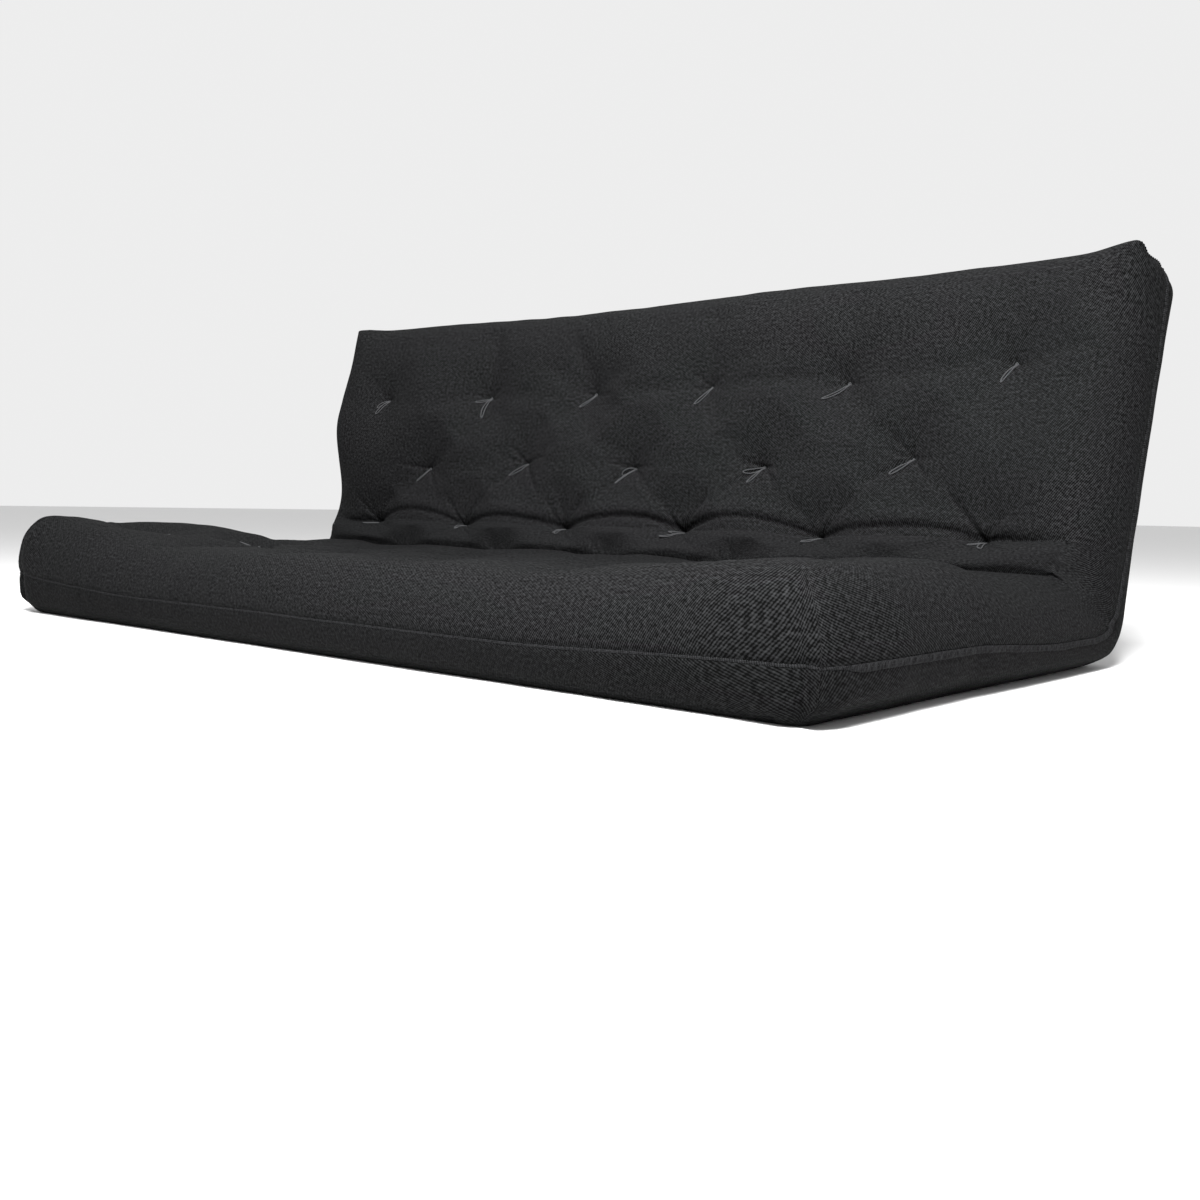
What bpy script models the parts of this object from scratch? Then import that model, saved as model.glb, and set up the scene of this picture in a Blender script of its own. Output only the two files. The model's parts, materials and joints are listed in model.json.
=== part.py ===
"""A tufted futon mattress, folded to sit on a sofa frame: a seat half and a back half on one fold line.

Metres, +Z up. The width runs along X, the seat's front faces -Y, and left and right are as seen from the
front. The origin is under the middle of the folded mattress, on the deck that it lies on. Each half is drawn
in its own slab axes, which start on the fold line at mid-thickness: x across the mattress, y away from the
fold along the half, z from the half's middle towards the face that is sat on or leant on.
"""

import math

import bmesh
import bpy
from mathutils import Matrix, Vector

# Driving dimensions, in metres
WIDTH = 1.90
THICKNESS = 0.17
SEAT_LENGTH = 0.822  # from the fold line to the front edge
BACK_LENGTH = 0.581  # from the fold line to the top edge
BACK_LEAN = math.radians(17.4)  # from upright, as folded
CLOTH = 0.002  # the twill casing
BATTING = 0.050  # one cotton layer, above or below the foam
SEAM_HEIGHT = 0.065  # from the underside to the seam where the top panel meets the border
GAP = 0.0003  # left between pieces that touch

# The fold: the halves' ends are cut so that the mattress opens flat and closes to a right angle
FOLD_CLEARANCE = 0.002
INNER_END_SLOPE = 1.0  # the inner half of each end runs back at 45 degrees
FOLD_ARC_STEPS = 8
CREASE_START = 0.006  # from the fold line to the thin edge of the piece tucked in the crease

# Tufting: rows run across the mattress, six ties and five ties by turns
COLUMN_SPACING = 0.311
ROWS = (  # letter, half, distance from the fold line, ties in the row
    ("a", "back", 0.396, 6),
    ("b", "back", 0.236, 5),
    ("c", "back", 0.098, 6),
    ("d", "seat", 0.098, 5),
    ("e", "seat", 0.278, 6),
    ("f", "seat", 0.458, 5),
    ("g", "seat", 0.637, 6),
)
TWINE_RADIUS = 0.002
TIE_HOLE_RADIUS = 0.003
TIE_HOLE_SIDES = 6
TIE_FOOT_INSET = 0.0005  # how far a tie's lower end stops short of the underside
LOOP_LENGTH = 0.030
LOOP_WIDTH = 0.008

HALF_WIDTH = WIDTH / 2
HALF_THICKNESS = THICKNESS / 2
SKIN = CLOTH + GAP
SEAM_Z = SEAM_HEIGHT - HALF_THICKNESS

BACK_TILT = math.pi / 2 - BACK_LEAN  # how far the back is turned up from lying flat
FOLDED_DEPTH = (
    SEAT_LENGTH
    + BACK_LENGTH * math.sin(BACK_LEAN)
    + HALF_THICKNESS * math.cos(BACK_LEAN)
)
FOLD_Y = SEAT_LENGTH - FOLDED_DEPTH / 2
FOLD_LINE = Vector((0, FOLD_Y, HALF_THICKNESS))

LENGTHS = {"seat": SEAT_LENGTH, "back": BACK_LENGTH}
PLACES = {
    "seat": Matrix.Translation(FOLD_LINE) @ Matrix.Rotation(math.pi, 4, "Z"),
    "back": Matrix.Translation(FOLD_LINE) @ Matrix.Rotation(BACK_TILT, 4, "X"),
    "fold": Matrix.Translation(FOLD_LINE),
}


def clear_scene():
    for item in list(bpy.data.objects):
        bpy.data.objects.remove(item, do_unlink=True)


def material(name, colour, roughness):
    finish = bpy.data.materials.new(name)
    finish.use_nodes = True
    shader = finish.node_tree.nodes["Principled BSDF"]
    shader.inputs["Base Color"].default_value = (*colour, 1)
    shader.inputs["Roughness"].default_value = roughness
    shader.inputs["Metallic"].default_value = 0
    return finish


def add_frame(name):
    """An empty on the fold line, whose axes are the slab axes of one half."""
    frame = bpy.data.objects.new(name + "_frame", None)
    frame.matrix_world = PLACES[name]
    bpy.context.scene.collection.objects.link(frame)
    return frame


def add_object(name, data, frame, finish):
    item = bpy.data.objects.new(name, data)
    if not data.materials:
        data.materials.append(finish)
    item.parent = frame
    bpy.context.scene.collection.objects.link(item)
    return item


def prism(name, outline, x_low, x_high):
    """A mesh with an outline of (y, z) points, run straight across from x_low to x_high."""
    work = bmesh.new()
    corners = [work.verts.new((x_low, y, z)) for y, z in outline]
    face = work.faces.new(corners)
    run = bmesh.ops.extrude_face_region(work, geom=[face])
    moved = [part for part in run["geom"] if isinstance(part, bmesh.types.BMVert)]
    bmesh.ops.translate(work, verts=moved, vec=(x_high - x_low, 0, 0))
    bmesh.ops.recalc_face_normals(work, faces=work.faces)
    mesh = bpy.data.meshes.new(name)
    work.to_mesh(mesh)
    work.free()
    return mesh


def end_y(z):
    """Where a half's end lies at height z: square below the fold line, sloped back above it."""
    return FOLD_CLEARANCE + INNER_END_SLOPE * max(z, 0)


def slab_outline(length, z_low, z_high):
    """The (y, z) outline of a layer of one half, from its end at the fold to its far edge."""
    levels = [z_high, z_low]
    if z_low < 0 < z_high:
        levels.insert(1, 0)
    near = [(end_y(z), z) for z in levels]
    return near + [(length, z_low), (length, z_high)]


def tie_places(half):
    """Each tie of a half as (letter, number, x, y), counted from the low x side."""
    for letter, place, distance, count in ROWS:
        if place == half:
            for number in range(count):
                x = (number - (count - 1) / 2) * COLUMN_SPACING
                yield letter, number + 1, x, distance


def tie_holes(half, frame):
    """One cutter with a six-sided bar for each tie of a half."""
    work = bmesh.new()
    for _, _, x, y in tie_places(half):
        bmesh.ops.create_cone(
            work,
            cap_ends=True,
            segments=TIE_HOLE_SIDES,
            radius1=TIE_HOLE_RADIUS,
            radius2=TIE_HOLE_RADIUS,
            depth=2 * THICKNESS,
            matrix=Matrix.Translation((x, y, 0)),
        )
    mesh = bpy.data.meshes.new(half + "_tie_holes")
    work.to_mesh(mesh)
    work.free()
    cutter = bpy.data.objects.new(half + "_tie_holes", mesh)
    cutter.parent = frame
    hide_tool(cutter)
    return cutter


def hide_tool(item):
    bpy.context.scene.collection.objects.link(item)
    item.hide_render = True
    item.display_type = "WIRE"


def cut(item, tool, label):
    boolean = item.modifiers.new(label, "BOOLEAN")
    boolean.operation = "DIFFERENCE"
    boolean.solver = "EXACT"
    boolean.object = tool


def add_layer(half, part, z_low, z_high, frame, holes, finish):
    """A batting, foam or cloth layer of one half, pierced where the ties pass."""
    inset = 0 if part == "bottom_panel" else SKIN
    name = f"{half}_{part}"
    outline = slab_outline(LENGTHS[half] - inset, z_low, z_high)
    mesh = prism(name, outline, inset - HALF_WIDTH, HALF_WIDTH - inset)
    layer = add_object(name, mesh, frame, finish)
    cut(layer, holes, "tie holes")


def add_top_panel(half, frame, holes, finish):
    """The top cloth with its three sides turned down to the seam."""
    name = half + "_top_panel"
    length = LENGTHS[half]
    outline = slab_outline(length, SEAM_Z, HALF_THICKNESS)
    panel = add_object(name, prism(name, outline, -HALF_WIDTH, HALF_WIDTH), frame, finish)
    inner_top = HALF_THICKNESS - CLOTH
    inner_outline = [
        (-THICKNESS, -THICKNESS),
        (length - CLOTH, -THICKNESS),
        (length - CLOTH, inner_top),
        (-THICKNESS, inner_top),
    ]
    inside = prism(name + "_inside", inner_outline, CLOTH - HALF_WIDTH, HALF_WIDTH - CLOTH)
    hollow = bpy.data.objects.new(name + "_inside", inside)
    hollow.parent = frame
    hide_tool(hollow)
    cut(panel, hollow, "hollow")
    cut(panel, holes, "tie holes")


def add_borders(half, frame, finish):
    """The cloth strips round the low edge: one along the far edge and one down each side."""
    z_low = SKIN - HALF_THICKNESS
    z_high = SEAM_Z - GAP
    length = LENGTHS[half]
    far_name = half + ("_front_border" if half == "seat" else "_top_border")
    far_outline = [
        (length - CLOTH, z_high),
        (length - CLOTH, z_low),
        (length, z_low),
        (length, z_high),
    ]
    add_object(far_name, prism(far_name, far_outline, -HALF_WIDTH, HALF_WIDTH), frame, finish)
    side_outline = slab_outline(length - SKIN, z_low, z_high)
    facing = -1 if half == "seat" else 1  # the seat's slab axes are turned end for end
    for side, sign in (("left", -1), ("right", 1)):
        outer = sign * facing * HALF_WIDTH
        inner = outer - math.copysign(CLOTH, outer)
        name = f"{half}_{side}_border"
        mesh = prism(name, side_outline, min(inner, outer), max(inner, outer))
        add_object(name, mesh, frame, finish)


def tie_route():
    """A tie's twine: up through the mattress, then a flat loop lying on the top panel."""
    lift = HALF_THICKNESS + GAP + TWINE_RADIUS
    near = LOOP_WIDTH / 2
    far = LOOP_LENGTH - near
    points = [(0, 0, TIE_FOOT_INSET - HALF_THICKNESS), (0, 0, lift - near / 2), (-near / 2, 0, lift)]
    for step in range(5):
        angle = math.radians(-90 - 45 * step)
        points.append((-far + near * math.cos(angle), near + near * math.sin(angle), lift))
    points.append((-LOOP_LENGTH / 3, LOOP_WIDTH, lift))
    return points


def tie_mesh(finish):
    """The twine as a six-sided tube with flat ends, made a mesh that every tie shares."""
    curve = bpy.data.curves.new("tuft_tie", "CURVE")
    curve.dimensions = "3D"
    curve.bevel_depth = TWINE_RADIUS
    curve.bevel_resolution = 1
    curve.use_fill_caps = True
    route = tie_route()
    spline = curve.splines.new("POLY")
    spline.points.add(len(route) - 1)
    for point, place in zip(spline.points, route):
        point.co = (*place, 1)
    drawn = bpy.data.objects.new("tuft_tie_drawn", curve)
    mesh = bpy.data.meshes.new_from_object(drawn)
    bpy.data.objects.remove(drawn)
    work = bmesh.new()
    work.from_mesh(mesh)
    bmesh.ops.remove_doubles(work, verts=work.verts, dist=GAP / 10)
    bmesh.ops.recalc_face_normals(work, faces=work.faces)
    work.to_mesh(mesh)
    work.free()
    mesh.name = "tuft_tie"
    mesh.materials.clear()
    mesh.materials.append(finish)
    return mesh


def add_ties(half, frame, mesh, finish):
    for letter, number, x, y in tie_places(half):
        tie = add_object(f"tuft_tie_{letter}{number}", mesh, frame, finish)
        tie.location = (x, y, 0)


def arc(radius, first, last, steps):
    """(y, z) points round the fold line; angles run from +Y towards +Z."""
    for step in range(steps + 1):
        angle = first + (last - first) * step / steps
        yield radius * math.cos(angle), radius * math.sin(angle)


def add_fold(frame, cloth, cotton):
    """What goes round the fold: cloth and filling on the outside, and the crease on the inside."""
    first = -math.pi / 2  # straight down, square to the seat
    last = BACK_TILT - math.pi / 2  # square to the back
    steps = FOLD_ARC_STEPS
    panel = list(arc(HALF_THICKNESS, first, last, steps))
    panel += list(arc(HALF_THICKNESS - CLOTH, last, first, steps))
    bottom = prism("fold_bottom_panel", panel, -HALF_WIDTH, HALF_WIDTH)
    add_object("fold_bottom_panel", bottom, frame, cloth)

    apex = next(arc(FOLD_CLEARANCE, (first + last) / 2, last, 1))
    sector = [apex] + list(arc(HALF_THICKNESS - SKIN, first, last, steps))
    filling = prism("fold_filling", sector, SKIN - HALF_WIDTH, HALF_WIDTH - SKIN)
    add_object("fold_filling", filling, frame, cotton)
    for side, sign in (("left", -1), ("right", 1)):
        name = f"fold_{side}_border"
        outer = sign * HALF_WIDTH
        inner = outer - sign * CLOTH
        border = prism(name, sector, min(inner, outer), max(inner, outer))
        add_object(name, border, frame, cloth)

    slope = math.atan(INNER_END_SLOPE)
    on_back = BACK_TILT + slope
    on_seat = math.pi - slope
    reach = HALF_THICKNESS / math.sin(slope)
    crease = list(arc(CREASE_START, (on_back + on_seat) / 2, on_seat, 1))[:1]
    crease += list(arc(reach, on_back, on_seat, 1))
    tucked = prism("fold_top_panel", crease, -HALF_WIDTH, HALF_WIDTH)
    add_object("fold_top_panel", tucked, frame, cloth)


def build():
    clear_scene()
    cloth = material("charcoal_twill", (0.028, 0.028, 0.030), 0.9)
    cotton = material("cotton_batting", (0.72, 0.69, 0.62), 0.95)
    foam = material("foam", (0.78, 0.74, 0.60), 0.9)
    twine = material("charcoal_twine", (0.045, 0.045, 0.048), 0.85)
    frames = {name: add_frame(name) for name in PLACES}
    bpy.context.view_layer.update()
    shared_tie = tie_mesh(twine)

    bottom = -HALF_THICKNESS
    top = HALF_THICKNESS
    lower_top = bottom + SKIN + BATTING
    upper_bottom = top - SKIN - BATTING
    for half in ("seat", "back"):
        frame = frames[half]
        holes = tie_holes(half, frame)
        add_layer(half, "bottom_panel", bottom, bottom + CLOTH, frame, holes, cloth)
        add_layer(half, "lower_batting", bottom + SKIN, lower_top, frame, holes, cotton)
        add_layer(half, "foam_core", lower_top + GAP, upper_bottom - GAP, frame, holes, foam)
        add_layer(half, "upper_batting", upper_bottom, top - SKIN, frame, holes, cotton)
        add_top_panel(half, frame, holes, cloth)
        add_borders(half, frame, cloth)
        add_ties(half, frame, shared_tie, twine)
    add_fold(frames["fold"], cloth, cotton)


build()
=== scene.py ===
"""A tufted futon mattress in charcoal cotton twill, folded for a sofa frame, over its CAD model."""

import json
import math
from collections import namedtuple

import bmesh
import bpy
import numpy as np
from mathutils import Matrix, Vector
from mathutils.bvhtree import BVHTree


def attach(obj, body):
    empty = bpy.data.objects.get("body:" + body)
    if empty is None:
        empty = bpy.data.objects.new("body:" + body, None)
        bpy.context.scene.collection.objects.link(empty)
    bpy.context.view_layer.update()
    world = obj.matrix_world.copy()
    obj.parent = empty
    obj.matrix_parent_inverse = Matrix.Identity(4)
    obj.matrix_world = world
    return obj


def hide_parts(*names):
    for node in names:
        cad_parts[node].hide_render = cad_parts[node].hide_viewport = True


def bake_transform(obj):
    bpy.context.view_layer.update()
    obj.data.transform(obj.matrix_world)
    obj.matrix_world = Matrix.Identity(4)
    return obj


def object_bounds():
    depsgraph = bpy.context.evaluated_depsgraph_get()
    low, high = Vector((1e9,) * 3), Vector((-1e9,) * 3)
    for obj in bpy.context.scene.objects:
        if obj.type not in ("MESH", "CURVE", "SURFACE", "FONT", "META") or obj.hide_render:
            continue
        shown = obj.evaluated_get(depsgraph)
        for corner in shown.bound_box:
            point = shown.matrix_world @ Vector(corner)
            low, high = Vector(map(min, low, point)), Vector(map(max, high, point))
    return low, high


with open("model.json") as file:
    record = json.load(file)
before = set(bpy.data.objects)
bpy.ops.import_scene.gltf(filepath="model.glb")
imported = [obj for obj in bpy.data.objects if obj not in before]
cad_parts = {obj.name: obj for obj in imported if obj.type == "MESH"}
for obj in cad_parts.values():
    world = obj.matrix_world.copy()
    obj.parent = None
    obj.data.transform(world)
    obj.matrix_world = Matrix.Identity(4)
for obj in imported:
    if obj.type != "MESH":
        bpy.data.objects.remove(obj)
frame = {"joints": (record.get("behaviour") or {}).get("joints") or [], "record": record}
cad_low, cad_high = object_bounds()

joint = frame["joints"][0]
HINGE = np.array(joint["pos_m"])
rear_mount = next(m for m in frame["record"]["mounts"] if m["name"] == "back_rear_face")
LEAN = math.asin(-rear_mount["axis"][2])
HALF_THICKNESS = HINGE[2]
HALF_WIDTH = cad_high.x
SEAT_LENGTH = HINGE[1] - cad_low.y
BACK_LENGTH = (cad_high.y - HINGE[1] - HALF_THICKNESS * math.cos(LEAN)) / math.sin(LEAN)

# Shape of the folded mattress, in metres. "Along" is measured from the fold, positive over the seat.
CLOTH = 0.0018
SEAM_HEIGHT = 0.065  # above the underside
CREASE = np.array([-0.070, 0.050])  # the inner corner of the fold, (y, z) from the hinge
CREASE_ALONG = 0.070
SEAT_RISE = 0.011  # the top climbs this much for each metre towards the front
ROLL_ALONG = -0.098  # the tie row above the roll that bunches in the fold
ROLL_HEIGHT = 0.064
OUTER_BEND = 0.080
FRONT_CORNER = 0.045
HEAD_CORNERS = (0.012, 0.030)  # crisp at the face, rounder at the rear
EAR = 0.018  # how far the two head corners stand up
HEAD_OVER = 0.013  # how far the casing stands past the layers' length at the head

UP_BACK = np.array([math.sin(LEAN), math.cos(LEAN)])
OUT_OF_BACK = np.array([-math.cos(LEAN), math.sin(LEAN)])

# A layer: heights of its faces, how far its edge reaches out at the sides, front and head,
# how deep the edge's upper and lower rounds are, and how much its walls swell
Layer = namedtuple("Layer", "top bottom side front head crown lower puff")
COVER = Layer(HALF_THICKNESS, -HALF_THICKNESS, 0.040, 0.060, 0.034, 0.048, 0.022, 1.0)
UPPER_BATTING = Layer(0.077, 0.037, 0.033, 0.046, 0.026, 0.030, 0.008, 0.0)
FOAM_CORE = Layer(0.0355, -0.0355, 0.034, 0.048, 0.026, 0.008, 0.008, 0.0)
LOWER_BATTING = Layer(-0.037, -0.079, 0.034, 0.048, 0.026, 0.006, 0.022, 0.0)
SIDE_PUFF, FRONT_PUFF, HEAD_PUFF = 0.026, 0.008, 0.010

# Tie rows: letter, along, ties in the row, how deep they pull the top in
COLUMN_SPACING = 0.311
TIE_ROWS = (
    ("a", -0.396, 6, 0.026),
    ("b", -0.236, 5, 0.027),
    ("c", ROLL_ALONG, 6, 0.021),
    ("d", CREASE_ALONG, 5, 0.014),
    ("e", 0.278, 6, 0.030),
    ("f", 0.458, 5, 0.030),
    ("g", 0.637, 6, 0.028),
)
OUT_OF_LINE = {"a": (12, 8, 4, 2, -6, 12), "b": (0, 8, -4, -3, 8)}  # millimetres up the back

INNER_X = HALF_WIDTH - COVER.side
INNER_FRONT = SEAT_LENGTH - COVER.front
INNER_TOP = COVER.head - BACK_LENGTH - HEAD_OVER
WALL = COVER.top - COVER.bottom - COVER.crown - COVER.lower
# Down the edge, v is 0 to 1 over the crown, to 2 on the wall, to 3 on the lower round, to 4 underneath
SEAM_V = 2 - (SEAM_HEIGHT - COVER.lower) / WALL
LOWER_SEAM_V = 2.6
# How far apart the casing's lines lie: at the ties, over the face, and on the underside
FINE = 0.0034
MEDIUM = 0.0050
COARSER = 0.012


def smooth(t):
    t = np.clip(t, 0, 1)
    return t * t * (3 - 2 * t)


def unit(vectors):
    return vectors / np.maximum(np.linalg.norm(vectors, axis=-1, keepdims=True), 1e-12)


def run_along(path):
    """The length run from a path's start to each of its points."""
    return np.concatenate([[0], np.cumsum(np.linalg.norm(np.diff(path, axis=0), axis=1))])


def lumps(x, y, size, seed):
    """Smooth noise from -1 to 1 with hills about size apart."""
    lattice = np.random.default_rng(seed).uniform(-1, 1, (64, 64))
    u, v = np.asarray(x) / size + 31.7, np.asarray(y) / size + 29.3
    i, j = np.floor(u).astype(int), np.floor(v).astype(int)
    fu, fv = smooth(u - i), smooth(v - j)
    i, j = i % 63, j % 63
    low = lattice[i, j] * (1 - fu) + lattice[i + 1, j] * fu
    high = lattice[i, j + 1] * (1 - fu) + lattice[i + 1, j + 1] * fu
    return low * (1 - fv) + high * fv


def ties():
    """Each tie as (name, x, along, depth), a little out of true as hand tying is."""
    rng = np.random.default_rng(7)
    for letter, along, count, depth in TIE_ROWS:
        for number in range(count):
            x = (number - (count - 1) / 2) * COLUMN_SPACING
            dx, ds, dd = rng.uniform(-1, 1, 3)
            up = OUT_OF_LINE[letter][number] / 1000 if letter in OUT_OF_LINE else 0.003 * ds
            yield f"{letter}{number + 1}", x + 0.003 * dx, along - up, depth * (1 + 0.15 * dd)


TIES = list(ties())


def lower_curve(along):
    """(y, z) of the underside from the hinge: down the back's rear, round the fold, under the seat."""
    s = np.asarray(along, float)
    bend = HALF_THICKNESS * (math.pi / 2 - LEAN)
    run = OUTER_BEND + bend / 2
    t = np.where(np.abs(s) < OUTER_BEND, s / OUTER_BEND * run, s + np.sign(s) * bend / 2)
    before = np.clip(-t - bend / 2, 0, None)
    after = np.clip(t - bend / 2, 0, None)
    angle = -LEAN - (math.pi / 2 - LEAN) * np.clip(t / bend + 0.5, 0, 1)
    around = HALF_THICKNESS * np.stack([np.cos(angle), np.sin(angle)], -1)
    return around + before[..., None] * UP_BACK + after[..., None] * np.array([-1.0, 0.0])


def upper_curve(along):
    """(y, z) of the top from the hinge: down the back's face, over the roll, forward on the seat."""
    s = np.asarray(along, float)
    above = np.clip(ROLL_ALONG - s, 0, None)
    on_roll = np.clip((CREASE_ALONG - s) / (CREASE_ALONG - ROLL_ALONG), 0, 1)
    height = above + ROLL_HEIGHT * on_roll
    seat_share = (SEAT_LENGTH + CREASE[0]) / (SEAT_LENGTH - CREASE_ALONG)
    forward = np.clip(s - CREASE_ALONG, 0, None) * seat_share
    seat = np.array([-1.0, SEAT_RISE])
    return CREASE + height[..., None] * UP_BACK + forward[..., None] * seat


def fuller_places(x, along):
    """Where the filling stands higher: the two ends of the seat, and the left end of the back."""
    tall = np.where(x < 0, 0.043, 0.034)
    ends = tall * smooth((np.abs(x) - 0.45) / 0.45) * smooth((along - 0.20) / 0.30)
    shoulder = ((x + HALF_WIDTH) / 0.08) ** 2 + ((along - SEAT_LENGTH) / 0.12) ** 2
    ends = ends + 0.016 * np.exp(-shoulder)
    left = 0.078 * smooth((-x - 0.25) / 0.65) * smooth((-along - 0.10) / 0.28)
    return ends[..., None] * np.array([0.0, 1.0]) + left[..., None] * np.array([-1.0, 0.0])


def place(x, along, height):
    """A point of the flat mattress, put where it lies when folded. Height is from mid-thickness."""
    x, along, height = np.broadcast_arrays(x, along, height)
    low = lower_curve(along)
    high = upper_curve(along) + fuller_places(x, along)
    share = (height + HALF_THICKNESS) / (2 * HALF_THICKNESS)
    yz = low + (high - low) * share[..., None]
    return np.stack([x, HINGE[1] + yz[..., 0], HINGE[2] + yz[..., 1]], -1)


def lift_direction(along):
    """Unit vectors from the underside to the top."""
    across = unit(upper_curve(along) - lower_curve(along))
    return np.concatenate([np.zeros(across.shape[:-1] + (1,)), across], -1)


def edge_profile(v, layer):
    """(out at the sides, out at the front, out at the head, height) down the edge of a layer."""
    v = np.asarray(v, float)
    crown = np.pi / 2 * (1 - np.clip(v, 0, 1))
    wall = np.clip(v - 1, 0, 1)
    lower = np.pi / 2 * np.clip(v - 2, 0, 1)
    under = np.clip(v - 3, 0, 1)
    wall_height = layer.top - layer.bottom - layer.crown - layer.lower
    height = layer.top - layer.crown * (1 - np.sin(crown)) - wall_height * wall
    height = height - layer.lower * np.sin(lower)
    share = np.clip((height - layer.bottom) / (layer.top - layer.bottom), 0, 1)
    bulge = smooth(share / 0.17) * smooth((1.08 - share) / 0.62)  # widest from the seam down
    outs = []
    for rim, puff in ((layer.side, SIDE_PUFF), (layer.front, FRONT_PUFF), (layer.head, HEAD_PUFF)):
        out = rim * np.cos(crown) - layer.lower * (1 - np.cos(lower)) - (rim - layer.lower) * under
        outs.append(out + layer.puff * puff * bulge * np.cos(crown))
    return (*outs, height)


def round_corner(x, along, v):
    """Rounds the four corners of the outline, seen from above the flat mattress."""
    head = HEAD_CORNERS[0] + (HEAD_CORNERS[1] - HEAD_CORNERS[0]) * smooth((v - 0.7) / 1.3)
    radius = np.where(along > 0, FRONT_CORNER, head)
    over_x = np.abs(x) - (HALF_WIDTH - radius)
    over_front = along - (SEAT_LENGTH - radius)
    over_top = (radius - BACK_LENGTH) - along
    over_s = np.maximum(over_front, over_top)
    inside = (over_x > 0) & (over_s > 0)
    reach = np.maximum(over_x, over_s)
    length = np.hypot(over_x, over_s)
    pull = np.where(inside, reach / np.maximum(length, 1e-9), 1)
    x = np.where(inside, np.sign(x) * (HALF_WIDTH - radius + over_x * pull), x)
    front = SEAT_LENGTH - radius + over_s * pull
    top = radius - BACK_LENGTH - over_s * pull
    along = np.where(inside, np.where(over_front > over_top, front, top), along)
    return x, along


def eared(x, along, height):
    """Draws the two head corners of the face up and out."""
    away = np.hypot(HALF_WIDTH - np.abs(x), along + BACK_LENGTH)
    near = EAR * np.exp(-((away / 0.066) ** 2)) * smooth((height - 0.035) / 0.042)
    return x + 0.35 * near * np.sign(x), along - near


def spaced(low, high, coarse, dense=()):
    """Positions from low to high, coarse apart, and finer near each (centre, reach, fine) of dense."""
    t = np.linspace(low, high, 20001)
    step = np.full_like(t, coarse)
    for centre, reach, fine in dense:
        near = smooth((np.abs(t - centre) - reach) / reach)
        step = np.minimum(step, fine + (coarse - fine) * near)
    count = np.concatenate([[0], np.cumsum((t[1:] - t[:-1]) / step[:-1])])
    lines = math.ceil(count[-1])
    return np.interp(np.linspace(0, count[-1], lines + 1), count, t)


MITRE = 0.11  # the stretch of each edge over which lines fan out to the corner


def fanned(t, low, high, out_low, out_high):
    """Moves an edge's lines outward near its ends, so that two edges meet at the corner."""
    before = smooth((low + MITRE - t) / MITRE)
    after = smooth((t - high + MITRE) / MITRE)
    return t + out_high * after - out_low * before


class Patches:
    """A layer's five sides and its underside as grids over (x, along, v), with shared edges."""

    def __init__(self, xs, ss, vs, layer, bottom=True):
        self.xs, self.ss, self.vs, self.layer = xs, ss, vs, layer
        self.names = ["top", "front", "head", "left", "right"] + (["bottom"] if bottom else [])

    def params(self, name):
        """(x, along, v) of a patch's grid, and whether its faces run the other way round."""
        if name in ("top", "bottom"):
            x, s = np.meshgrid(self.xs, self.ss, indexing="ij")
            return x, s, np.full_like(x, 0 if name == "top" else self.vs[-1]), name == "bottom"
        if name in ("front", "head"):
            x, v = np.meshgrid(self.xs, self.vs, indexing="ij")
            return x, np.full_like(x, INNER_FRONT if name == "front" else INNER_TOP), v, name == "head"
        s, v = np.meshgrid(self.ss, self.vs, indexing="ij")
        return np.full_like(s, -INNER_X if name == "left" else INNER_X), s, v, name == "right"

    def flat(self, name):
        """Where a patch's points lie on the unfolded mattress, as (x, along, height)."""
        x, s, v, _ = self.params(name)
        if name in ("top", "bottom"):
            height = np.full_like(x, self.layer.top if name == "top" else self.layer.bottom)
            return (*eared(x, s, height), height)
        side, front, head, height = edge_profile(v, self.layer)
        if name in ("front", "head"):
            x = fanned(x, -INNER_X, INNER_X, side, side)
            s = s + front if name == "front" else s - head
        else:
            x = x + side * np.sign(x)
            s = fanned(s, INNER_TOP, INNER_FRONT, head, front)
        x, s = round_corner(x, s, v)
        return (*eared(x, s, height), height)

    def shape(self, name):
        """Where a patch's points lie before the filling presses the cover out."""
        return place(*self.flat(name))

    def cloth(self, name):
        """A patch's place on the flat cloth, in metres, for the weave."""
        x, s, v, _ = self.params(name)
        if name in ("top", "bottom"):
            return np.stack([x, s], -1)
        samples = np.linspace(0, 4, 401)
        side, front, head, height = edge_profile(samples, self.layer)
        out = {"front": front, "head": head}.get(name, side)
        steps = np.hypot(np.diff(out), np.diff(height))
        run = np.interp(v, samples, np.concatenate([[0], np.cumsum(steps)]))
        if name in ("front", "head"):
            return np.stack([x, s + run if name == "front" else s - run], -1)
        return np.stack([x + run * np.sign(x), s], -1)


def interpolation(old, new):
    """A matrix that takes values at old positions to values at new ones, by a smooth curve."""
    k = np.clip(np.searchsorted(old, new) - 1, 0, len(old) - 2)
    width = old[k + 1] - old[k]
    t = (new - old[k]) / width
    table = np.zeros((len(new), len(old)))
    rows = np.arange(len(new))
    before, after = np.maximum(k - 1, 0), np.minimum(k + 2, len(old) - 1)
    h10 = (t**3 - 2 * t**2 + t) * width
    h11 = (t**3 - t**2) * width
    np.add.at(table, (rows, k), 2 * t**3 - 3 * t**2 + 1)
    np.add.at(table, (rows, k + 1), -2 * t**3 + 3 * t**2)
    slope0 = h10 / (old[k + 1] - old[before])
    np.add.at(table, (rows, k + 1), slope0)
    np.add.at(table, (rows, before), -slope0)
    slope1 = h11 / (old[after] - old[k])
    np.add.at(table, (rows, after), slope1)
    np.add.at(table, (rows, k), -slope1)
    return table


# What the ties and the fold do to the top


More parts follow.
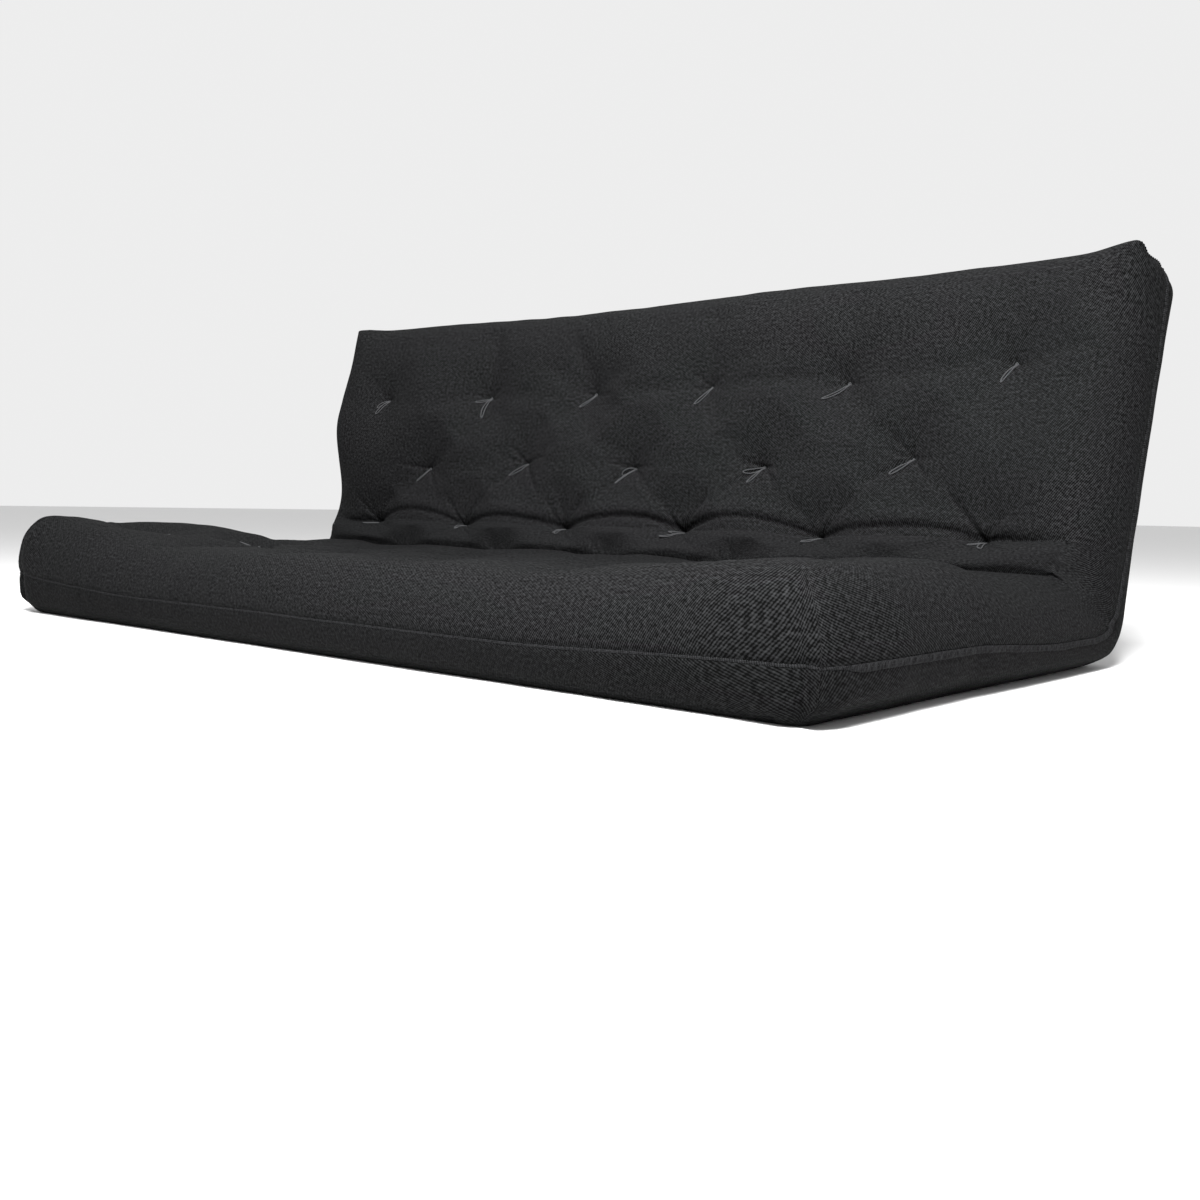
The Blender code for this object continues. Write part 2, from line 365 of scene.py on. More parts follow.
def tie_pull(x, along):
    """How far the top is drawn in round the ties and in the valleys between ties of a row."""
    down = np.zeros(np.broadcast(x, along).shape)
    for _, tie_x, tie_s, depth in TIES:
        away = np.hypot(x - tie_x, along - tie_s)
        pit = 0.42 * np.exp(-((away / 0.095) ** 2)) + 0.58 * np.exp(-((away / 0.030) ** 1.3))
        down = np.maximum(down, depth * pit)
    valley = np.zeros_like(down)
    for _, row_s, count, depth in TIE_ROWS:
        inside = smooth((count * COLUMN_SPACING / 2 - np.abs(x)) / 0.14)
        line = np.exp(-(((along - row_s) / 0.034) ** 2)) * inside
        valley = np.maximum(valley, 0.22 * depth * line)
    return np.maximum(down, valley)


def roll_swell(along):
    """The roll of cloth and cotton bunched in the fold between two tie rows."""
    t = np.clip((along - ROLL_ALONG) / (CREASE_ALONG - ROLL_ALONG), 0, 1)
    return 0.013 * np.sin(np.pi * t) ** 0.8


def rise(x, along):
    """How far the top lies above its plain curve, before the filling presses it out."""
    return roll_swell(along) - tie_pull(x, along)


def welded(patches, parts, shapes):
    """Parts of patches, as (name, first row, last row), made one surface.

    Gives its points and quads, where each quad's corners lie on the flat cloth,
    and each part's table of point numbers.
    """
    keys, points, quads, corners, tables = [], [], [], [], {}
    first = 0
    for name, start, end in parts:
        *grids, flipped = patches.params(name)
        x, s, v = (grid[:, start:end] for grid in grids)
        keys.append(np.round(np.stack([x, s, v], -1).reshape(-1, 3) * 1e5).astype(np.int64))
        points.append(shapes[name][:, start:end].reshape(-1, 3))
        cloth = patches.cloth(name)[:, start:end].reshape(-1, 2)
        own = np.arange(x.size).reshape(x.shape)
        a, b, c, d = own[:-1, :-1], own[:-1, 1:], own[1:, 1:], own[1:, :-1]
        order = np.stack((a, d, c, b) if flipped else (a, b, c, d), -1).reshape(-1, 4)
        quads.append(first + order)
        corners.append(cloth[order])
        tables[name] = first + own
        first += x.size
    _, chosen, index = np.unique(np.concatenate(keys), axis=0, return_index=True, return_inverse=True)
    index = index.reshape(-1)
    tables = {name: index[table] for name, table in tables.items()}
    return np.concatenate(points)[chosen], index[np.concatenate(quads)], np.concatenate(corners), tables


def add_piece(name, points, faces):
    """A new piece with the given mesh."""
    mesh = bpy.data.meshes.new(name)
    faces = faces.tolist() if isinstance(faces, np.ndarray) else faces
    mesh.from_pydata(np.asarray(points).tolist(), [], faces)
    mesh.update()
    piece = bpy.data.objects.new(name, mesh)
    bpy.context.scene.collection.objects.link(piece)
    return piece


def points_of(mesh):
    points = np.empty(len(mesh.vertices) * 3)
    mesh.vertices.foreach_get("co", points)
    return points.reshape(-1, 3)


# The filling presses the cloth out between the ties: simulated on a coarse cover

COARSE = 0.013
PRESS_FRAMES = 18
PRESS_LIMIT = 0.022


def pressed_out(patches):
    """How far the filling moves each point of a coarse cover, by patch."""
    names = [n for n in patches.names if n != "bottom"]
    shapes = {n: patches.shape(n) for n in names}
    x, s, _, _ = patches.params("top")
    shapes["top"] = shapes["top"] + lift_direction(s) * rise(x, s)[..., None]
    points, quads, _, tables = welded(patches, [(n, None, None) for n in names], shapes)
    cover = add_piece("pressed_cover", points, quads)
    held = cover.vertex_groups.new(name="held")
    xy = np.stack([x, s], -1).reshape(-1, 2)
    pins = {int(n) for name in names if name != "top" for n in tables[name][:, -1]}
    for _, tie_x, tie_s, _ in TIES:
        nearest = np.argsort(np.hypot(*(xy - (tie_x, tie_s)).T))[:4]
        pins.update(int(tables["top"].reshape(-1)[n]) for n in nearest)
    held.add(sorted(pins), 1.0, "REPLACE")
    taut = cover.vertex_groups.new(name="taut")
    walls = {int(n) for name in names if name != "top" for n in tables[name][:, 1:].reshape(-1)}
    taut.add(sorted(walls), 1.0, "REPLACE")
    cloth = cover.modifiers.new("cloth", "CLOTH")
    settings = cloth.settings
    settings.quality = 6
    settings.mass = 0.35
    settings.tension_stiffness = 25
    settings.compression_stiffness = 25
    settings.shear_stiffness = 12
    settings.bending_stiffness = 2.0
    settings.air_damping = 2
    settings.vertex_group_mass = "held"
    settings.use_pressure = True
    settings.uniform_pressure_force = 4.0
    settings.vertex_group_shrink = "taut"
    settings.shrink_min = -0.009
    settings.shrink_max = 0.0
    settings.effector_weights.gravity = 0
    cloth.collision_settings.use_collision = False
    scene = bpy.context.scene
    cloth.point_cache.frame_start = 1
    cloth.point_cache.frame_end = PRESS_FRAMES
    for step in range(1, PRESS_FRAMES + 1):
        scene.frame_set(step)
    settled = cover.evaluated_get(bpy.context.evaluated_depsgraph_get())
    move = points_of(settled.to_mesh()) - points
    settled.to_mesh_clear()
    scene.frame_set(1)
    bpy.data.objects.remove(cover)
    far = np.linalg.norm(move, axis=1, keepdims=True)
    move *= PRESS_LIMIT * np.tanh(far / PRESS_LIMIT) / np.maximum(far, 1e-9)
    moved = {n: move[tables[n]] for n in names}
    inner = moved["top"][1:-1, 1:-1]
    for _ in range(2):
        across = moved["top"][:-2, 1:-1] + moved["top"][2:, 1:-1]
        down = moved["top"][1:-1, :-2] + moved["top"][1:-1, 2:]
        inner += 0.5 * ((across + down) / 4 - inner)
    return moved


# The cover at its full detail

Crease = namedtuple("Crease", "x0 s0 x1 s1 depth width")


def creases():
    """Short creases that run out from the ties, and longer ones between the rows beside the fold."""
    rng = np.random.default_rng(21)
    found = []

    def add(dx, ds, depth, width, from_x=0.0):
        found.append(Crease(x + from_x, s, x + dx, s + ds, depth, width))

    for name, x, s, _ in TIES:
        row = name[0]
        strength = {"a": 0.6, "b": 1.1, "c": 1.3, "d": 1.3}.get(row, 0.9)
        for _ in range(5 if row in "ab" else 6):
            angle = rng.uniform(0, 2 * math.pi)
            reach = rng.uniform(0.025, 0.075)
            deep = strength * rng.uniform(0.0025, 0.0065)
            add(math.cos(angle) * reach, math.sin(angle) * reach, deep, rng.uniform(0.0042, 0.0062))
        for side in (-1, 1):
            reach = rng.uniform(0.035, 0.080)
            tilt = rng.uniform(-0.25, 0.25) * reach
            add(side * reach, tilt, strength * rng.uniform(0.004, 0.007), 0.0052)
        if row == "b":
            for side in (-1, 1):
                out = side * rng.uniform(0.055, 0.105)
                add(out, rng.uniform(0.060, 0.105), rng.uniform(0.004, 0.009), 0.0060)
        if row == "c":
            for side in (-1, 1):
                up = rng.uniform(0.06, 0.10)
                add(side * up * 0.9, -up, rng.uniform(0.005, 0.009), 0.0060)
                add(side * 0.05, rng.uniform(0.06, 0.10), rng.uniform(0.005, 0.009), 0.0056)
        if row == "d":
            for offset in (-0.045, -0.02, 0.018, 0.05):
                up = rng.uniform(0.05, 0.10)
                lean = offset + rng.uniform(-0.01, 0.01)
                add(lean, -up, rng.uniform(0.005, 0.010), 0.0052, from_x=0.3 * lean)
        if row == "g":
            add(rng.uniform(-0.01, 0.01), SEAT_LENGTH - s, rng.uniform(0.006, 0.012), 0.016)
    return found


CREASES = creases()


def crease_depth(x, along):
    down = np.zeros(np.broadcast(x, along).shape)
    for c in CREASES:
        run = np.array([c.x1 - c.x0, c.s1 - c.s0])
        length = np.hypot(*run)
        share = ((x - c.x0) * run[0] + (along - c.s0) * run[1]) / length**2
        aside = ((x - c.x0) * run[1] - (along - c.s0) * run[0]) / length
        t = np.clip(share, 0, 1)
        beyond = (share - t) * length
        fade = np.exp(-((aside**2 + beyond**2) / (c.width * (0.6 + 0.8 * t)) ** 2)) * (1 - 0.85 * t)
        down = down + (c.depth * fade) ** 3
    return np.cbrt(down)


def fold_line(x, row_letter, arch):
    """Along of a fold that passes through a row's ties and arches up between them."""
    row = [(tx, ts) for name, tx, ts, _ in TIES if name[0] == row_letter]
    tie_x = np.array([t[0] for t in row])
    base = np.interp(x, tie_x, [t[1] for t in row])
    phase = np.interp(x, tie_x, np.arange(len(row)), left=0, right=len(row) - 1)
    uneven = 1 + 0.25 * np.sin(2.3 * phase + 0.6)
    return base - arch * uneven * np.abs(np.sin(np.pi * phase)) ** 0.7


def fold_depth(x, along):
    """The two deep folds: one that arches between the ties above the roll, and the inner corner."""
    inside = smooth((HALF_WIDTH - 0.03 - np.abs(x)) / 0.10)
    line = fold_line(x, "c", 0.024)
    off = along - line
    tight = 0.75 + 0.25 * np.sin(1.9 * x / COLUMN_SPACING + 1.2)
    arched = 0.0108 * tight * np.exp(-np.abs(off / np.where(off < 0, 0.0042, 0.0080)) ** 1.3)
    overhang = -0.003 * np.exp(-(((off + 0.016) / 0.014) ** 2))
    corner = 0.016 * np.exp(-np.abs((along - fold_line(x, "d", 0.008)) / 0.010) ** 1.3)
    return (arched + overhang + corner) * inside


def ripples(x, v):
    """Faint upright ripples on the front, left of its middle."""
    where = smooth((x + 0.86) / 0.2) * smooth((0.25 - x) / 0.3)
    wave = lumps(x + 0.012 * v, 0.020 * v, 0.024, 5)
    return 0.0032 * wave * (0.25 + where) * np.sin(np.pi * np.clip((v - 0.25) / 1.7, 0, 1))


class Cover:
    """The finished surface of the casing, as fine grids with every fold, crease and seam in place."""

    def __init__(self):
        coarse_v = (np.linspace(0, 1, 7)[:-1], np.linspace(1, 2, 7)[:-1], np.linspace(2, 3, 4))
        fold_middle = (ROLL_ALONG + CREASE_ALONG) / 2
        self.coarse = Patches(
            spaced(-INNER_X, INNER_X, COARSE),
            spaced(INNER_TOP, INNER_FRONT, COARSE, [(fold_middle, 0.06, 0.009)]),
            np.concatenate(coarse_v),
            COVER,
            bottom=False,
        )
        self.move = pressed_out(self.coarse)
        columns = [(n / 2 * COLUMN_SPACING, 0.016, FINE) for n in range(-5, 6)]
        rows = [(along, 0.016, FINE) for _, along, _, _ in TIE_ROWS]
        rows.append((fold_middle, 0.095, 0.0032))
        rows.append(((INNER_TOP + ROLL_ALONG) / 2, 0.22, MEDIUM))
        rings = [
            np.linspace(0, 1, 15)[:-1],
            np.linspace(1, SEAM_V, 7)[:-1],
            np.linspace(SEAM_V, 2, 6)[:-1],
            np.linspace(2, LOWER_SEAM_V, 5)[:-1],
            np.linspace(LOWER_SEAM_V, 3, 4)[:-1],
            np.linspace(3, 4, 5),
        ]
        self.seam_row = sum(len(v) for v in rings[:2])
        self.lower_seam_row = sum(len(v) for v in rings[:4])
        self.fine = Patches(
            spaced(-INNER_X, INNER_X, MEDIUM, columns),
            spaced(INNER_TOP, INNER_FRONT, 0.8 * COARSER, rows),
            np.concatenate(rings),
            COVER,
            bottom=False,
        )
        self.under = Patches(
            spaced(-INNER_X, INNER_X, COARSER, [(x, 0.014, 0.007) for x, _, _ in columns]),
            spaced(INNER_TOP, INNER_FRONT, COARSER, [(s, 0.014, 0.007) for _, s, _, _ in TIE_ROWS]),
            self.fine.vs,
            COVER,
        )
        self.shapes = {name: self.detailed(self.fine, name) for name in self.fine.names}
        lower_sides = [name for name in self.under.names if name != "top"]
        self.under_shapes = {name: self.detailed(self.under, name) for name in lower_sides}

    def spread(self, patches, name):
        """The simulated movement of one side, carried over to another grid."""
        over_x = name in ("top", "front", "head")
        rows, old_rows = (patches.xs, self.coarse.xs) if over_x else (patches.ss, self.coarse.ss)
        columns, old_columns = patches.vs, self.coarse.vs
        if name == "top":
            columns, old_columns = patches.ss, self.coarse.ss
        across = interpolation(old_rows, rows)
        down = interpolation(old_columns, np.minimum(columns, old_columns[-1]))
        moved = np.einsum("ri,ijk,cj->rck", across, self.move[name], down, optimize=True)
        if name != "top":
            moved *= (columns <= old_columns[-1])[None, :, None]
        return moved

    def detailed(self, patches, name):
        """One side with its folds, creases, ripples and seam."""
        x, s, v, _ = patches.params(name)
        points = patches.shape(name)
        if name == "bottom":
            return points + lift_direction(s) * under_dimples(x, s)[..., None]
        points = points + self.spread(patches, name)
        if name == "top":
            edge = smooth((INNER_X - np.abs(x)) / 0.03)
            edge = edge * smooth((INNER_FRONT - s) / 0.03) * smooth((s - INNER_TOP) / 0.03)
            loose = 0.0035 * lumps(x, s, 0.17, 3) + 0.0014 * lumps(x, s, 0.055, 4)
            height = rise(x, s) + (loose - crease_depth(x, s) - fold_depth(x, s)) * edge
            return points + lift_direction(s) * height[..., None]
        outward = {"front": (0, -1, 0), "head": (0, *UP_BACK), "left": (-1, 0, 0), "right": (1, 0, 0)}
        along_edge = x if name in ("front", "head") else s
        fade = smooth(v / 0.5) * smooth((3 - v) / 0.6)
        swell = 0.0030 * lumps(along_edge, 0.07 * v, 0.15, 11)
        swell = swell + 0.0012 * lumps(along_edge, 0.06 * v, 0.05, 12)
        if name == "front":
            swell = swell + ripples(x, v)
        seam = np.exp(-(((v - SEAM_V) * WALL / 0.007) ** 2))
        pucker = 1 + 0.45 * lumps(along_edge, 0 * v, 0.011, 13)
        out = swell * fade - 0.0024 * seam * pucker
        return points + out[..., None] * np.array(outward[name], float)


def under_dimples(x, s):
    """The underside drawn in a little at each tie."""
    up = np.zeros_like(x)
    for _, tie_x, tie_s, _ in TIES:
        up = np.maximum(up, 0.007 * np.exp(-(np.hypot(x - tie_x, s - tie_s) / 0.020) ** 1.6))
    return up


# Finishes


def node_group(name, inputs, outputs):
    group = bpy.data.node_groups.new(name, "ShaderNodeTree")
    for label, kind, value in inputs:
        made = group.interface.new_socket(label, in_out="INPUT", socket_type=kind)
        if value is not None:
            made.default_value = value
    for label, kind in outputs:
        group.interface.new_socket(label, in_out="OUTPUT", socket_type=kind)
    return group, group.nodes.new("NodeGroupInput"), group.nodes.new("NodeGroupOutput")


class Wiring:
    """Short calls for adding and joining nodes in one tree."""

    def __init__(self, tree):
        self.tree = tree

    def join(self, value, socket):
        if isinstance(value, bpy.types.NodeSocket):
            self.tree.links.new(value, socket)
        elif value is not None:
            socket.default_value = value

    def cloth_map(self):
        node = self.tree.nodes.new("ShaderNodeUVMap")
        node.uv_map = "cloth"
        return node.outputs["UV"]

    def math(self, operation, a, b=None, c=None):
        node = self.tree.nodes.new("ShaderNodeMath")
        node.operation = operation
        for value, socket in zip((a, b, c), node.inputs):
            self.join(value, socket)
        return node.outputs[0]

    def dot(self, vector, direction):
        node = self.tree.nodes.new("ShaderNodeVectorMath")
        node.operation = "DOT_PRODUCT"
        self.join(vector, node.inputs[0])
        node.inputs[1].default_value = direction
        return node.outputs["Value"]

    def noise(self, vector, scale, detail=2.0, roughness=0.5):
        node = self.tree.nodes.new("ShaderNodeTexNoise")
        self.join(vector, node.inputs["Vector"])
        node.inputs["Scale"].default_value = scale
        node.inputs["Detail"].default_value = detail
        node.inputs["Roughness"].default_value = roughness
        return node.outputs["Fac"]

    def remap(self, value, low, high, new_low, new_high):
        node = self.tree.nodes.new("ShaderNodeMapRange")
        self.join(value, node.inputs["Value"])
        node.inputs["From Min"].default_value = low
        node.inputs["From Max"].default_value = high
        node.inputs["To Min"].default_value = new_low
        node.inputs["To Max"].default_value = new_high
        return node.outputs["Result"]

    def tint(self, colour, amount):
        """A colour made lighter or darker by a value about 1."""
        node = self.tree.nodes.new("ShaderNodeVectorMath")
        node.operation = "SCALE"
        self.join(colour, node.inputs[0])
        self.join(amount, node.inputs["Scale"])
        return node.outputs["Vector"]

    def mix(self, amount, a, b):
        node = self.tree.nodes.new("ShaderNodeMix")
        node.data_type = "RGBA"
        self.join(amount, node.inputs[0])
        self.join(a, node.inputs[6])
        self.join(b, node.inputs[7])
        return node.outputs[2]


RIB_TURN, RIB_SPACING = math.radians(31), 0.0031
THREAD_TURN, THREAD_SPACING = math.radians(-58), 0.0036
LINT = (0.035, 0.035, 0.035, 1)


def twill_group():
    """Cotton twill: slanted ribs crossed by finer threads, with slubs, lint and uneven dye, and painted
    shade in the grooves between the ribs.
    """
    group, given, result = node_group(
        "cotton_twill",
        [
            ("Cloth", "NodeSocketVector", None),
            ("Yarn", "NodeSocketColor", (0.02, 0.02, 0.02, 1)),
            ("Contrast", "NodeSocketFloat", 0.5),
        ],
        [("Colour", "NodeSocketColor"), ("Height", "NodeSocketFloat"), ("Roughness", "NodeSocketFloat")],
    )
    w = Wiring(group)
    cloth = given.outputs["Cloth"]
    slub = w.math("MULTIPLY", w.noise(cloth, 60, 2), 0.0022)

    def wave(turn, spacing):
        across = w.math("ADD", w.dot(cloth, (math.cos(turn), math.sin(turn), 0)), slub)
        return w.math("SINE", w.math("MULTIPLY", across, 2 * math.pi / spacing))

    rib, thread = wave(RIB_TURN, RIB_SPACING), wave(THREAD_TURN, THREAD_SPACING)
    crossed = w.math("MULTIPLY_ADD", rib, 0.72, w.math("MULTIPLY", thread, 0.28))
    grain = w.math("SUBTRACT", w.noise(cloth, 195, 2), 0.5)
    height = w.math("MULTIPLY_ADD", crossed, 0.5, w.math("MULTIPLY_ADD", grain, 1.9, 0.5))
    dye = w.math("SUBTRACT", w.noise(cloth, 5, 3), 0.5)
    # The yarn is drawn darker in the weave's grooves and lighter on its rib tops: painted shade and
    # highlight that bring out the weave's own pattern of ribs.
    shade = w.math("MULTIPLY_ADD", w.math("SUBTRACT", height, 0.5), given.outputs["Contrast"], 1.0)
    shade = w.math("ADD", shade, w.math("MULTIPLY", dye, 0.25))
    lint = w.remap(w.noise(cloth, 900, 2, 0.6), 0.70, 0.78, 0, 0.25)
    dyed = w.tint(given.outputs["Yarn"], w.math("MAXIMUM", shade, 0.05))
    w.join(w.mix(lint, dyed, LINT), result.inputs["Colour"])
    w.join(height, result.inputs["Height"])
    w.join(w.math("MULTIPLY_ADD", height, -0.12, 0.92), result.inputs["Roughness"])
    return group


def fibre_group():
    """Loose fibre or open foam: soft lumps and fine strands or pores on object coordinates."""
    group, given, result = node_group(
        "loose_fibre",
        [
            ("Place", "NodeSocketVector", None),
            ("Fibre", "NodeSocketColor", (0.8, 0.78, 0.7, 1)),
            ("Fineness", "NodeSocketFloat", 300.0),
        ],
        [("Colour", "NodeSocketColor"), ("Height", "NodeSocketFloat")],
    )
    w = Wiring(group)
    place_in = given.outputs["Place"]
    fine = w.tree.nodes.new("ShaderNodeTexNoise")
    w.join(place_in, fine.inputs["Vector"])
    w.join(given.outputs["Fineness"], fine.inputs["Scale"])
    fine.inputs["Detail"].default_value = 5
    fine.inputs["Distortion"].default_value = 1.2
    coarse = w.noise(place_in, 24, 3)
    height = w.math("MULTIPLY_ADD", coarse, 0.6, w.math("MULTIPLY", fine.outputs["Fac"], 0.4))
    shade = w.remap(height, 0.3, 0.7, 0.78, 1.08)
    w.join(w.tint(given.outputs["Fibre"], shade), result.inputs["Colour"])
    w.join(height, result.inputs["Height"])
    return group


def new_finish(name, roughness, sheen=0.0, specular=0.3):
    finish = bpy.data.materials.new(name)
    finish.use_nodes = True
    shader = finish.node_tree.nodes["Principled BSDF"]
    shader.inputs["Roughness"].default_value = roughness
    shader.inputs["Sheen Weight"].default_value = sheen
    shader.inputs["Sheen Roughness"].default_value = 0.55
    shader.inputs["Specular IOR Level"].default_value = specular
    return finish, shader, Wiring(finish.node_tree)


def add_bump(w, shader, height, strength, distance):
    bump = w.tree.nodes.new("ShaderNodeBump")
    bump.inputs["Strength"].default_value = strength
    bump.inputs["Distance"].default_value = distance
    w.join(height, bump.inputs["Height"])
    w.join(bump.outputs["Normal"], shader.inputs["Normal"])


def twill_finish(name, group, yarn, contrast, turned=0.0):
    finish, shader, w = new_finish(name, 0.9, specular=0.04)
    cloth = w.cloth_map()
    if turned:
        mapping = w.tree.nodes.new("ShaderNodeMapping")
        mapping.inputs["Rotation"].default_value = (0, 0, turned)
        w.join(cloth, mapping.inputs["Vector"])
        cloth = mapping.outputs["Vector"]
    weave = w.tree.nodes.new("ShaderNodeGroup")
    weave.node_tree = group
    weave.inputs["Yarn"].default_value = (*yarn, 1)
    weave.inputs["Contrast"].default_value = contrast
    w.join(cloth, weave.inputs["Cloth"])
    w.join(weave.outputs["Colour"], shader.inputs["Base Color"])
    w.join(weave.outputs["Roughness"], shader.inputs["Roughness"])
    add_bump(w, shader, weave.outputs["Height"], 0.40, 0.0007)
    return finish


def fibre_finish(name, group, fibre, fineness, distance):
    finish, shader, w = new_finish(name, 0.95, sheen=0.3, specular=0.15)
    coordinates = w.tree.nodes.new("ShaderNodeTexCoord")
    loose = w.tree.nodes.new("ShaderNodeGroup")
    loose.node_tree = group
    loose.inputs["Fibre"].default_value = (*fibre, 1)
    loose.inputs["Fineness"].default_value = fineness
    w.join(coordinates.outputs["Object"], loose.inputs["Place"])
    w.join(loose.outputs["Colour"], shader.inputs["Base Color"])
    add_bump(w, shader, loose.outputs["Height"], 0.8, distance)
    return finish


LAY = 0.0032  # the length of twine over which its strands wind once round


def twine_finish(name, colour):
    """Plied twine: strands that wind round, on the cord's own map."""
    finish, shader, w = new_finish(name, 0.8, specular=0.08)
    cord = w.cloth_map()
    wound = w.math("SINE", w.dot(cord, (4 * math.pi, 2 * math.pi / LAY, 0)))
    fuzz = w.noise(cord, 260, 2)
    height = w.math("MULTIPLY_ADD", wound, 0.4, fuzz)
    rgb = w.tree.nodes.new("ShaderNodeRGB")
    rgb.outputs[0].default_value = (*colour, 1)
    w.join(w.tint(rgb.outputs[0], w.remap(height, 0.0, 1.0, 0.55, 1.35)), shader.inputs["Base Color"])
    add_bump(w, shader, height, 0.6, 0.0004)
    return finish


# Making the pieces


def across_fold(piece):
    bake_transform(piece)


def set_cloth_map(mesh, corners):
    layer = mesh.uv_layers.new(name="cloth")
    layer.data.foreach_set("uv", np.asarray(corners, np.float32).reshape(-1))


def apply_all(piece):
    bpy.ops.object.select_all(action="DESELECT")
    bpy.context.view_layer.objects.active = piece
    piece.select_set(True)
    for modifier in list(piece.modifiers):
        bpy.ops.object.modifier_apply(modifier=modifier.name)
    piece.select_set(False)


def finish_piece(piece, finish, slot, *nodes):
    piece.data.shade_smooth()
    piece.data.materials.clear()
    piece.data.materials.append(finish)
    if nodes:
        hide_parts(*nodes)


def panel(patches, shapes, name, parts, finish, nodes):
    """A cut panel of the casing: the outer surface given the cloth's thickness inwards."""
    points, quads, corners, _ = welded(patches, parts, shapes)
    piece = add_piece(name, points, quads)
    set_cloth_map(piece.data, corners)
    thick = piece.modifiers.new("cloth_thickness", "SOLIDIFY")
    thick.thickness = CLOTH
    thick.offset = -1
    apply_all(piece)
    finish_piece(piece, finish, "cover_twill", *nodes)
    return piece


def sides(*names):
    return [f"{part}_{name}" for name in names for part in ("seat", "back", "fold")]


def make_casing(cover, weave):
    top_finish = twill_finish("charcoal_twill", weave, (0.0044, 0.0045, 0.0047), 3.3)
    # The borders and the bottom panel take a darker yarn than the top: painted shade, the same charcoal
    # cloth drawn darker where it turns away from the light.
    shaded_border_yarn = (0.0030, 0.0031, 0.0032)
    shaded_border_finish = twill_finish("charcoal_twill_border", weave, shaded_border_yarn, 3.3, math.radians(90))
    seam, low = cover.seam_row, cover.lower_seam_row
    edges = ("front", "head", "left", "right")
    top = [("top", None, None)] + [(n, None, seam + 1) for n in edges]
    bottom = [("bottom", None, None)] + [(n, low, None) for n in edges]
    pieces = {
        "top_panel": panel(
            cover.fine, cover.shapes, "top_panel", top, top_finish, sides("top_panel")
        ),
        "bottom_panel": panel(
            cover.under, cover.under_shapes, "bottom_panel", bottom, shaded_border_finish, sides("bottom_panel")
        ),
    }
    for name, edge, nodes in (
        ("front_border", "front", ["seat_front_border"]),
        ("top_border", "head", ["back_top_border"]),
        ("left_border", "left", sides("left_border")),
        ("right_border", "right", sides("right_border")),
    ):
        band = [(edge, seam, low + 1)]
        pieces[name] = panel(cover.fine, cover.shapes, name, band, shaded_border_finish, nodes)
    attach(pieces["front_border"], "seat")
    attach(pieces["top_border"], "back")
    for name in ("top_panel", "bottom_panel", "left_border", "right_border"):
        across_fold(pieces[name])
    return pieces


def seam_ring(cover, row):
    """Points round the casing along one row of its edge, and the row below, as closed loops."""
    turn = (("front", 1), ("right", -1), ("head", -1), ("left", 1))
    upper, lower = [], []
    for name, step in turn:
        side = cover.shapes[name][::step]
        upper.append(side[:-1, row])
        lower.append(side[:-1, row + 1])
    return np.concatenate(upper), np.concatenate(lower)


def loop_frames(points, below):
    """(tangent, down, outward) at each point of a closed loop."""
    tangent = unit(np.roll(points, -1, 0) - np.roll(points, 1, 0))
    down = unit(below - points)
    outward = unit(np.cross(down, tangent))
    middle = points.mean(0)
    if np.sum(outward * (points - middle)) < 0:
        outward = -outward
    return tangent, down, outward


LIP_HEIGHT, LIP_THICKNESS = 0.0088, 0.0019
FRONT_LIP = 0.35  # the lip's share of its height and thickness along the front, where it is pulled flat
FRONT_Y = -0.47  # where the front's flatter stretch begins


def lip_surface(cover):
    """Round the upper seam: points, (tangent, down, outward), length run so far, and the lip's share."""
    points, below = seam_ring(cover, cover.seam_row)
    tangent, down, outward = loop_frames(points, below)
    run = run_along(points)
    flat = 1 - (1 - FRONT_LIP) * smooth((FRONT_Y - points[:, 1]) / 0.04)
    return points, tangent, down, outward, run, flat


def make_seam_lip(cover, weave):
    """The felled seam between the top panel and the borders, a folded lip that stands a little proud."""
    points, _, down, outward, run, flat = lip_surface(cover)
    wide = (flat * LIP_HEIGHT * (1 + 0.10 * lumps(run, 0 * run, 0.05, 17)))[:, None]
    proud = (flat * LIP_THICKNESS * (1 + 0.20 * lumps(run, 0 * run, 0.03, 18)))[:, None]
    ring = np.stack(
        [
            points - 0.0020 * outward - 0.0005 * down,
            points + 0.6 * proud * outward - 0.0008 * down,
            points + proud * outward + 0.16 * wide * down,
            points + proud * outward + 0.8 * wide * down,
            points + 0.5 * proud * outward + wide * down,
            points - 0.0020 * outward + wide * down,
        ],
        1,
    )
    count, around = ring.shape[:2]
    number = np.arange(count * around).reshape(count, around)
    ahead, beside = np.roll(number, -1, 0), np.roll(number, -1, 1)
    quads = np.stack([number, ahead, np.roll(ahead, -1, 1), beside], -1).reshape(-1, 4)
    piece = add_piece("edge_seam", ring.reshape(-1, 3), quads)
    length = np.append(run, run[-1] + 0.01)
    u = np.stack([length[:-1], length[1:], length[1:], length[:-1]], -1)[:, None, :].repeat(around, 1)
    side = 0.002 * np.arange(around)
    v = np.stack([side, side, side + 0.002, side + 0.002], -1)[None].repeat(count, 0)
    set_cloth_map(piece.data, np.stack([u, v], -1))
    turn_outward(piece)
    # The lip's yarn is drawn a little lighter than the top's: painted light on the lip where it stands
    # proud.
    finish = twill_finish("charcoal_twill_seam", weave, (0.0072, 0.0073, 0.0077), 1.6, math.radians(45))
    finish_piece(piece, finish, "cover_twill")
    across_fold(piece)


def turn_outward(piece):
    work = bmesh.new()
    work.from_mesh(piece.data)
    bmesh.ops.recalc_face_normals(work, faces=work.faces)
    work.to_mesh(piece.data)
    work.free()


